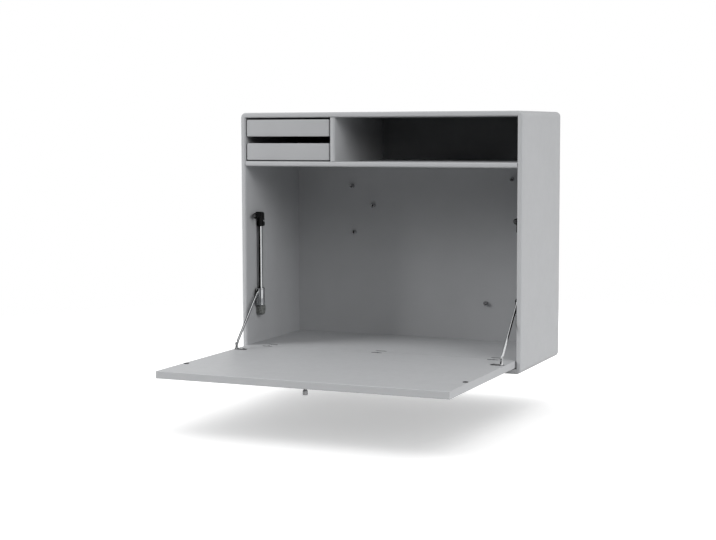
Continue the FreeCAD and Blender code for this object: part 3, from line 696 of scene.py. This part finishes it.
def post():
    """The stem, the tongue beside the arm's lower eye, and the rivet through both."""
    tongue = block(PIN[1] - TONGUE_HALF, PIN[1] + TONGUE_HALF, PIN[2] - 5.2, PIN[2] + TONGUE_HALF,
                   (0.3, 0.3, 3.15, 3.15))
    return [stem(PIN[2] - STEM_BELOW_PIN - PLATE_TOP),
            slab(tongue, STAY_X + TONGUE_INNER, STAY_X + TONGUE_OUTER, 0.35, "yzx"),
            rivet(PIN, (1, 0, 0), TONGUE_OUTER, 1.6, 2.6, 0.8)]


piece("posts_cast", "flap", bright_chrome, *both(post()), stands_for=["stay_posts"])
POST_PLATE = block(STAY_X - 25, STAY_X + 6, plate_low[1], plate_high[1], (5.8, 5.8, 5.8, 5.8), 8)
piece("post_plates", "flap", dark_steel, *both([slab(POST_PLATE, plate_low[2], PLATE_TOP, 0.5, "xyz")]))
POST_SCREW = (STAY_X - 18, PIN[1], PLATE_TOP)
piece("post_screws", "flap", dark_steel, *both([screw(POST_SCREW, (0, 0, 1), 3.6, 1.3)]))

# %% [markdown]
# ## Heads, catches and feet
#
# A black nylon head holds the upper end of each tube. It is one moulding: a sleeve round the tube, a
# cap over it, a lobe for the screw at the back and a neck in front. The neck carries a round catch,
# whose magnetic plunger holds the closed flap.

# %% Heads
HEAD_R = 8.0
LOBE_FRONT, LOBE_BACK, LOBE_WIDE = STAY_Y + 2, STAY_Y + 16, 14
LOBE_RADII = (1.5, 3.5, 3.5, 1.5)
HOUSING = block(STAY_X - HEAD_R, SIDE_X, STAY_Y - HEAD_R, STAY_Y + 9, (7.95, 0.6, 0.6, 5), 10)
cap_low = head_low[2] + 18.0


def moulding(low, high, lower, upper, ease):
    """The housing's plan, as seen from above, carried from low to high and drawn in towards its ends.

    Round an end of radius R the depth in y shrinks by R (1 - sin a) on each side at the height
    R (1 - cos a), and the reach from the side panel shrinks by ease (1 - sin a).
    """
    a = np.linspace(0, np.pi / 2, 9)
    inset, rise = 1 - np.sin(a), 1 - np.cos(a)
    depth = np.concatenate([lower * inset, upper * inset[::-1]])[:, None]
    reach = np.concatenate([ease[0] * inset, ease[1] * inset[::-1]])[:, None]
    z = np.concatenate([low + lower * rise, high - upper * rise[::-1]])[:, None]
    x, y = HOUSING[:, 0], HOUSING[:, 1]
    wide, middle, half = SIDE_X - x.min(), (y.min() + y.max()) / 2, (y.max() - y.min()) / 2
    x = SIDE_X - (SIDE_X - x) * (1 - reach / wide)
    y = middle + (y - middle) * (1 - depth / half)
    rings = np.stack([x, y, np.broadcast_to(z, x.shape)], -1)
    ends = [np.broadcast_to(ring.mean(0), ring.shape)[None] for ring in (rings[0], rings[-1])]
    return np.concatenate([ends[0], rings, ends[1]])


def head():
    """The sleeve with a groove below its top, the cap over it, the lobe at the back and the neck."""
    low, high = head_low[2], head_high[2]
    bore, groove, sleeve_top = TUBE_R + 0.05, HEAD_R - 0.5, cap_low + 1
    sleeve = [(bore, low, 0.2), (7.4, low, 0.5), (HEAD_R, low + 1.2, 0.5), (HEAD_R, low + 13, 0.3),
              (groove, low + 13.6, 0.2), (groove, low + 14.4, 0.2), (HEAD_R, low + 15, 0.3),
              (HEAD_R, sleeve_top, 0), (bore, sleeve_top, 0)]
    lobe = block(LOBE_FRONT, LOBE_BACK, low, cap_low + 0.5, LOBE_RADII)
    neck = softened([(0, 20, 0), (5, 20, 0.3), (5, -6, 0.5), (0, -6, 0)], steps=3)
    return [ring(sleeve, (STAY_X, STAY_Y, 0), (0, 0, 1)), moulding(cap_low, high, 0.8, 5, (0.5, 4)),
            slab(lobe, SIDE_X - LOBE_WIDE, SIDE_X, 1.0, "yzx"),
            turned(neck, (STAY_X, STAY_Y - 2, (cap_low + high) / 2), (0, -1, 0))]


def lobe_screws(z):
    """A screw in the lobe at each side, at the height z."""
    return both([screw((SIDE_X - LOBE_WIDE, STAY_Y + 11.5, z), (-1, 0, 0), 3.0, 1.2)])


piece("heads_moulded", "cabinet", black_nylon, *both(head()), stands_for=["stay_heads"])
piece("head_screws", "cabinet", bright_chrome, *lobe_screws(head_low[2] + 12.5))

# %% Catches and their plungers
catch_low, catch_high = corners_of("catches")
plunger_low, plunger_high = corners_of("catch_magnets")
CATCH = ((catch_low + catch_high) / 2)[2]


def catch_body():
    """Turned about y; distances run from the body's back towards the front."""
    deep = catch_high[1] - catch_low[1]
    bore, groove, wall = 4.05, 6.0, 6.4
    corners = [(bore, 0.5, 0), (5.9, 0.3, 0.3), (wall, 0.9, 0.3), (wall, deep - 3.2, 0.2),
               (groove, deep - 2.8, 0.2), (groove, deep - 2.2, 0.2), (wall, deep - 1.8, 0.2),
               (wall, deep, 0.9), (4.6, deep, 0.3), (bore, deep - 0.7, 0.2)]
    return ring(corners, (STAY_X, catch_high[1], CATCH), (0, -1, 0))


def plunger():
    """A rod with rounded rims and a shallow dish in its front."""
    long, radius, dish = plunger_high[1] - plunger_low[1], 3.9, 0.4
    profile = softened([(0, 0.1, 0), (radius, 0.1, 0.3), (radius, long, 0.9), (2.0, long, 0.2),
                        (1.7, long - dish, 0.2), (0, long - dish, 0)])
    return turned(profile, (STAY_X, plunger_high[1], CATCH), (0, -1, 0))


piece("catch_bodies", "cabinet", black_nylon, *both([catch_body()]), stands_for=["catches"])
piece("plungers", "cabinet", dark_steel, *both([plunger()]), stands_for=["catch_magnets"])

# %% [markdown]
# The foot is a dark grey moulding with a deep round at its bottom corners, so that a hand which slides
# down the side finds no edge.

# %% Feet
FOOT_ROUND = 7


def foot():
    """The housing with its deep round at the bottom, and the lobe behind it."""
    low, high = foot_low[2], foot_high[2]
    lobe = block(LOBE_FRONT, LOBE_BACK, low + FOOT_ROUND, high - 0.1, LOBE_RADII)
    return [moulding(low, high, FOOT_ROUND, 0.8, (5.5, 0.5)),
            slab(lobe, SIDE_X - LOBE_WIDE, SIDE_X, 1.0, "yzx")]


piece("feet_moulded", "cabinet", cloudy_plastic, *both(foot()), stands_for=["stay_feet"])
piece("foot_screws", "cabinet", dark_steel, *lobe_screws(foot_high[2] - 8))

# %% [markdown]
# ## Strikes, knob and magnets
#
# Each of these is a profile spun round its axis. What makes them look real is the small bevel and the
# shallow recess that a lathe leaves.

# %% Strike discs
strike_low, strike_high = corners_of("strike_discs")
STRIKE = ((strike_low + strike_high) / 2)[1]


def strike():
    """A bevelled disc with a recess in the middle, and a screw at the bottom of the recess."""
    thick, radius, recess = strike_high[2] - strike_low[2], (strike_high[1] - strike_low[1]) / 2, 0.45
    profile = softened([(0, 0, 0), (radius, 0, 0), (radius, thick - 0.5, 0.2), (radius - 0.6, thick, 0.2),
                        (3.2, thick, 0.2), (2.9, thick - recess, 0.1), (0, thick - recess, 0)], steps=3)
    return [turned(profile, (STAY_X, STRIKE, strike_low[2]), (0, 0, 1)),
            screw((STAY_X, STRIKE, strike_high[2] - recess + 0.01), (0, 0, 1), 2.7, 0.4)]


piece("strikes_turned", "flap", black_oxide, *both(strike()), stands_for=["strike_discs"])

# %% Pull knob
knob_low, knob_high = corners_of("pull_knob")
KNOB_COLLAR, KNOB_WAIST, KNOB_R = 4.4, 3.7, 5.5


def knob():
    """Distances run down from the flap's underside: a waist that curves out into the head."""
    long = knob_high[2] - knob_low[2]
    profile = softened([(0, 0, 0), (KNOB_COLLAR, 0, 0.2), (KNOB_COLLAR, 0.8, 0.3), (KNOB_WAIST, 1.4, 1.0),
                        (KNOB_WAIST, long - 10.5, 3.0), (KNOB_R, long - 8.8, 1.0),
                        (KNOB_R, long - 0.9, 0.6), (KNOB_R - 0.9, long, 0.6), (0, long, 0)], steps=7)
    middle = (knob_low + knob_high) / 2
    return turned(profile, (middle[0], middle[1], knob_high[2]), (0, 0, -1), 56)


piece("knob_turned", "flap", satin_steel, knob(), stands_for=["pull_knob"])

# %% Board magnets
def magnet(low, high):
    """A short cylinder with rounded rims and a shallow dish in its front."""
    long, radius, dish = high[1] - low[1], (high[0] - low[0]) / 2, 0.25
    profile = softened([(0, 0, 0), (radius - 0.3, 0, 0), (radius, 0.3, 0.1), (radius, long, 0.8),
                        (radius - 1.4, long, 0.3), (radius - 1.9, long - dish, 0.3), (0, long - dish, 0)])
    middle = (low + high) / 2
    return turned(profile, (middle[0], high[1], middle[2]), (0, -1, 0), 48)


for number in range(1, 6):
    node = f"board_magnet_{number}"
    piece(f"magnet_{number}_turned", f"magnet_{number}", magnet_steel, magnet(*corners_of(node)),
          stands_for=[node])

# %% [markdown]
# ## The trays
#
# A tray's front is a thick slab, rounded like a bar of soap where a finger pulls it out. Its sides
# and back are thinner, with only the small ease that sandpaper leaves, so a copy of each gets a Bevel
# modifier. Its triangles are first joined into whole faces: the modifier bevels edges between two.

# %% Tray fronts
FRONT_CORNER, FRONT_ROUND, BACK_ROUND, SANDED = 3.5, 1.7, 0.3, 0.5 * mm


def tray_front(node):
    """The CAD front's box with round corners, rounder in front than behind."""
    low, high = corners_of(node)
    outline = block(low[0], high[0], low[2], high[2], (FRONT_CORNER,) * 4)
    return slab(outline, low[1], high[1], (FRONT_ROUND, BACK_ROUND), "xzy", 6)


def eased(node, body):
    """A copy of a tray's CAD piece with whole faces and bevelled edges."""
    mesh = nodes[node].data.copy()
    tidy = bmesh.new()
    tidy.from_mesh(mesh)
    bmesh.ops.remove_doubles(tidy, verts=tidy.verts, dist=MERGE)
    bmesh.ops.dissolve_limit(tidy, angle_limit=np.radians(1), verts=tidy.verts, edges=tidy.edges)
    tidy.to_mesh(mesh)
    tidy.free()
    made = placed(f"{node}_eased", mesh)
    bevel = made.modifiers.new("ease", "BEVEL")
    bevel.width, bevel.segments, bevel.limit_method = SANDED, 2, "ANGLE"
    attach(made, body)
    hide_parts(node)
    print(f"{made.name}: {len(mesh.polygons)} faces before the bevel, rides on {body}")


for tray in TRAYS:
    node = f"{tray}_front"
    piece(f"{tray}_face", tray, tray_lacquer, tray_front(node), stands_for=[node])
    for part in ("sides", "back"):
        eased(f"{tray}_{part}", tray)

# %% [markdown]
# ## Screws in the hinges and on the rail
#
# Two countersunk screws hold each hinge leaf, painted with it. At the leaf's free end a black strip is
# painted shade: it stands in for the shadow in the gap round the leaf. From across a room the strips are
# all that shows. Four pan head screws hold the rail to the wall, and the strip that hooks over it is
# screwed to the back of the cabinet.

# %% Hinge screws
LEAF_HALF, SCREW_STEP = 13.5, 7


def leaves(node):
    """The middles in x of the three leaves of a node, and the node's lowest and highest corner."""
    low, high = corners_of(node)
    return (low[0] + LEAF_HALF, 0, high[0] - LEAF_HALF), low, high


def leaf_screws(node, inset):
    """Two screws for each leaf, inset from the leaf's free end."""
    middles, low, high = leaves(node)
    y = high[1] - inset if node == "floor_leaves" else low[1] + inset
    return [screw((x + step, y, high[2] - 0.02), (0, 0, 1), 2.6, 0.22)
            for x in middles for step in (-SCREW_STEP, SCREW_STEP)]


piece("floor_leaf_screws", "cabinet", coated_steel, *leaf_screws("floor_leaves", 9.5))
piece("flap_leaf_screws", "flap", coated_steel, *leaf_screws("flap_leaves", 9))

# %% Hinge gap shades
# the black strips of painted gap shade: their length, depth, rise above the leaf and inset at the sides
SHADE_STRIP_LENGTH, SHADE_STRIP_DEEP, SHADE_STRIP_PROUD, SHADE_STRIP_PLAY = 6.0, 0.8, 0.05, 0.1


def gap_shade_strips(node):
    """A black strip of painted gap shade at the free end of each leaf, with the round corners of its
    pocket, a hair proud of it.
    """
    middles, low, high = leaves(node)
    y0, y1, radii = low[1], low[1] + SHADE_STRIP_LENGTH, (4, 4, 0.6, 0.6)
    if node == "floor_leaves":
        y0, y1, radii = high[1] - SHADE_STRIP_LENGTH, high[1], (0.6, 0.6, 4, 4)
    half = LEAF_HALF - SHADE_STRIP_PLAY
    return [slab(block(x - half, x + half, y0, y1, radii), high[2] - SHADE_STRIP_DEEP, high[2] + SHADE_STRIP_PROUD,
                 0.04, "xyz") for x in middles]


# black strips as painted shade in the gaps round the hinge leaves
piece("floor_leaf_gap_shades", "cabinet", black_nylon, *gap_shade_strips("floor_leaves"))
piece("flap_leaf_gap_shades", "flap", black_nylon, *gap_shade_strips("flap_leaves"))

# %% Rail screws
SHEET = 1.5
RAIL_BACK = corners_of("wall_rail")[1][1]                   # its face on the wall
HANGER_BACK = corners_of("hanger_strip")[0][1] + SHEET      # the strip's face towards the wall
WALL_SCREWS, HANGER_SCREWS = (-288, -96, 96, 288), np.linspace(-264, 264, 7)


def wall_screw(x):
    """A pan head with a cross, and the shank down to the wall."""
    shank = softened([(0, 0, 0), (2.3, 0, 0), (2.3, SHEET + 0.1, 0), (0, SHEET + 0.1, 0)])
    return [screw((x, RAIL_BACK - SHEET, 0), (0, -1, 0), 4.6, 2.2, 1.4),
            turned(shank, (x, RAIL_BACK, 0), (0, -1, 0), 24)]


piece("wall_screws", "cabinet", zinc_sheet, *[grid for x in WALL_SCREWS for grid in wall_screw(x)])
piece("hanger_screws", "cabinet", zinc_sheet,
      *[screw((x, HANGER_BACK, 9.5), (0, 1, 0), 3.1, 1.6, 1.0) for x in HANGER_SCREWS])

# %% [markdown]
# ## Light
#
# Most of the light comes from high up. The world is a dim sky that glows only overhead, so that deep
# bays stay dark. The camera, a mirror or glass sees plain white instead. A white studio would be the
# simple way to get that background, but it would light every face alike.

# %% World
SKY = 0.615
SKY_FADE = (0.35, 0.45)       # heights of direction between which the sky fades in


def world():
    """A sky above a height, dark below it, and plain white to the camera and to mirrors."""
    made = bpy.data.worlds.new("studio")
    made.use_nodes = True
    tree = made.node_tree
    tree.nodes.clear()
    direction = add_node(tree, "ShaderNodeTexCoord").outputs["Generated"]
    height = add_node(tree, "ShaderNodeSeparateXYZ", {0: direction}).outputs["Z"]
    band = add_node(tree, "ShaderNodeValToRGB", {0: height})
    for element, place, glow in zip(band.color_ramp.elements, SKY_FADE, (0, 1)):
        element.position, element.color = place, (glow, glow, glow, 1)
    sky = add_node(tree, "ShaderNodeBackground", {"Color": band.outputs["Color"], "Strength": SKY})
    white = add_node(tree, "ShaderNodeBackground", {"Color": (1, 1, 1, 1)})
    rays = add_node(tree, "ShaderNodeLightPath")
    shown = rays.outputs["Is Camera Ray"]
    for ray in ("Is Glossy Ray", "Is Transmission Ray"):
        either = add_node(tree, "ShaderNodeMath", {0: shown, 1: rays.outputs[ray]}, operation="MAXIMUM")
        shown = either.outputs[0]
    mix = add_node(tree, "ShaderNodeMixShader", {0: shown, 1: sky.outputs[0], 2: white.outputs[0]})
    add_node(tree, "ShaderNodeOutputWorld", {0: mix.outputs[0]})
    return made


bpy.context.scene.world = world()
bpy.context.scene.view_settings.view_transform = "Standard"
print("sky strength:", SKY)

# %% [markdown]
# Three panels light the desk: one from the right and above, one low at the right for the outer side,
# and one from the left that reaches the back. Mirrors don't see them, because a lamp is many times
# brighter than white and would burn a hard streak into the chrome.

# %% Lamps on the desk
LAMP_TARGET = Vector((0, -0.3, -0.3))
LAMP_AWAY, LAMP_SIZE = 3.5, 1.6


def panel_lamp(name, turn, height, power):
    """A square lamp that faces the desk, turned from in front to the right, and so many degrees up."""
    turn, height = np.radians([turn, height])
    away = Vector((np.sin(turn) * np.cos(height), -np.cos(turn) * np.cos(height), np.sin(height)))
    light = bpy.data.lights.new(name, "AREA")
    light.shape, light.size, light.energy = "SQUARE", LAMP_SIZE, power
    lamp = placed(name, light)
    aim = (-away).to_track_quat("-Z", "Y").to_matrix().to_4x4()
    lamp.matrix_world = Matrix.Translation(LAMP_TARGET + away * LAMP_AWAY) @ aim
    lamp.visible_glossy = False
    print(name, [round(c, 2) for c in lamp.matrix_world.translation], power, "W")
    return lamp


desk_lamps = [panel_lamp(name, turn, height, power) for name, turn, height, power in (
    ("key_lamp", 60, 25, 42), ("side_lamp", 90, 5, 31), ("fill_lamp", -60, 25, 88))]

# %% [markdown]
# ## The floor
#
# A pale floor lies under the desk and catches its soft shadow. It is a round sheet whose rim fades
# to clear, so there is no line where it ends. To the camera it also glows a little, which keeps the
# shadow pale.

# %% Floor
FLOOR_Z, FLOOR_R, FLOOR_Y, FLOOR_SIDES = -0.645, 2.6, -0.4, 96
FLOOR_WHITE, FLOOR_GLOW, FADE_FROM, FADE_TO = (0.8, 0.8, 0.8), 0.45, 1.1, FLOOR_R - 0.5


def floor_sheet():
    """A disc: one face with its corners on a circle."""
    angle = np.linspace(0, 2 * np.pi, FLOOR_SIDES, endpoint=False)
    rim = np.stack([np.cos(angle) * FLOOR_R, np.sin(angle) * FLOOR_R + FLOOR_Y, 0 * angle + FLOOR_Z], 1)
    mesh = bpy.data.meshes.new("floor")
    mesh.from_pydata(rim.tolist(), [], [list(range(FLOOR_SIDES))])
    return placed("floor", mesh)


def floor_finish():
    """Matt white that fades to clear away from the middle. To the camera it also glows."""
    made = Finish("pale_floor", FLOOR_WHITE, 0.9)
    matt = made.node("ShaderNodeBsdfDiffuse", {"Color": (*FLOOR_WHITE, 1)}).outputs[0]
    glow = made.node("ShaderNodeEmission", {"Strength": FLOOR_GLOW}).outputs[0]
    both_parts = made.node("ShaderNodeAddShader", {0: matt, 1: glow}).outputs[0]
    shown = made.node("ShaderNodeLightPath").outputs["Is Camera Ray"]
    seen = made.node("ShaderNodeMixShader", {0: shown, 1: matt, 2: both_parts}).outputs[0]
    clear = made.node("ShaderNodeBsdfTransparent").outputs[0]
    flat = made.node("ShaderNodeVectorMath", {0: made.place, 1: (1, 1, 0)}, operation="MULTIPLY")
    away = made.node("ShaderNodeVectorMath", {0: flat.outputs["Vector"]}, operation="LENGTH")
    span = {"Value": away.outputs["Value"], "From Min": FADE_FROM, "From Max": FADE_TO}
    fade = made.node("ShaderNodeMapRange", span, interpolation_type="SMOOTHSTEP")
    faded = made.node("ShaderNodeMixShader", {0: fade.outputs["Result"], 1: seen, 2: clear})
    made.tree.links.new(faded.outputs[0], made.tree.nodes["Material Output"].inputs["Surface"])
    made.tree.nodes.remove(made.shader)
    return made.material


floor = floor_sheet()
floor.data.materials.append(floor_finish())

# %% [markdown]
# Each lamp of the desk would throw a long shadow of its own over the floor. Light linking keeps them
# off it, and one very wide lamp, high up behind the desk, lights only the floor: so there is one soft
# shadow, drawn a little forwards.

# %% The floor's own lamp
FLOOR_LAMP_TURN, FLOOR_LAMP_HEIGHT, FLOOR_LAMP_POWER, FLOOR_LAMP_SIZE = -150, 63, 264, 9.0


def only(lamp, state):
    """Make a lamp light only the floor ("INCLUDE"), or everything except the floor ("EXCLUDE")."""
    group = bpy.data.collections.new(f"{lamp.name}_link")
    group.objects.link(floor)
    lamp.light_linking.receiver_collection = group
    group.collection_objects[0].light_linking.link_state = state


for lamp in desk_lamps:
    only(lamp, "EXCLUDE")
floor_lamp = panel_lamp("floor_lamp", FLOOR_LAMP_TURN, FLOOR_LAMP_HEIGHT, FLOOR_LAMP_POWER)
floor_lamp.data.size = FLOOR_LAMP_SIZE
only(floor_lamp, "INCLUDE")

# %% [markdown]
# ## Black cards
#
# Chrome has no colour of its own: it shows what stands round it. In an all white studio it would look
# like white plastic. A curved black card, in front and to the left, gives each rod a dark side. Small
# cards at the side panels do the same for the sides that face them: they are a painted reflection of
# shade, so the rods show those panels dark though the lamps light them. One more goes on in front of
# the left panel, beside the arm's lower half. Only mirrors see the cards, so they cast no shadow and
# take no light from the boards.

# %% Cards
CARD_AWAY, CARD_TURN, CARD_RISE, CARD_MIDDLE = 3.0, (-110, 14), (-1.2, 4.0), -0.3
NEAR_X = (SIDE_X - 0.4) * mm
STAY_RISE, ARM_RISE = (-0.505, -0.19), (-0.49, -0.37)
# cards that stand in, for the chrome, for side panels in shade: a painted reflection of shade
SHADE_CARDS = ((-1, (-0.299, -0.2), STAY_RISE), (-1, (-0.385, -0.299), ARM_RISE),
              (1, (-0.335, -0.2), STAY_RISE))       # side, span of y, span of z
card_black = Finish("card_black", (0.01, 0.01, 0.01), 1.0, Specular_IOR_Level=0.0).material


def card(name, x, y, rise):
    """An upright black sheet along the line of points x, y, from one height to another."""
    points = np.concatenate([np.stack([x, y, 0 * x + z], 1) for z in rise])
    count = len(x)
    faces = [(i, i + 1, i + 1 + count, i + count) for i in range(count - 1)]
    mesh = bpy.data.meshes.new(name)
    mesh.from_pydata(points.tolist(), [], faces)
    mesh.materials.append(card_black)
    made = placed(name, mesh)
    made.visible_camera = made.visible_diffuse = made.visible_transmission = made.visible_shadow = False
    print(f"{name}: {len(faces)} faces")


angle = np.radians(np.linspace(*CARD_TURN, 25))
card("far_card", CARD_AWAY * np.sin(angle), CARD_MIDDLE - CARD_AWAY * np.cos(angle), CARD_RISE)
for number, (side, span, rise) in enumerate(SHADE_CARDS, 1):
    card(f"near_card_{number}", np.full(2, side * NEAR_X), np.array(span), rise)
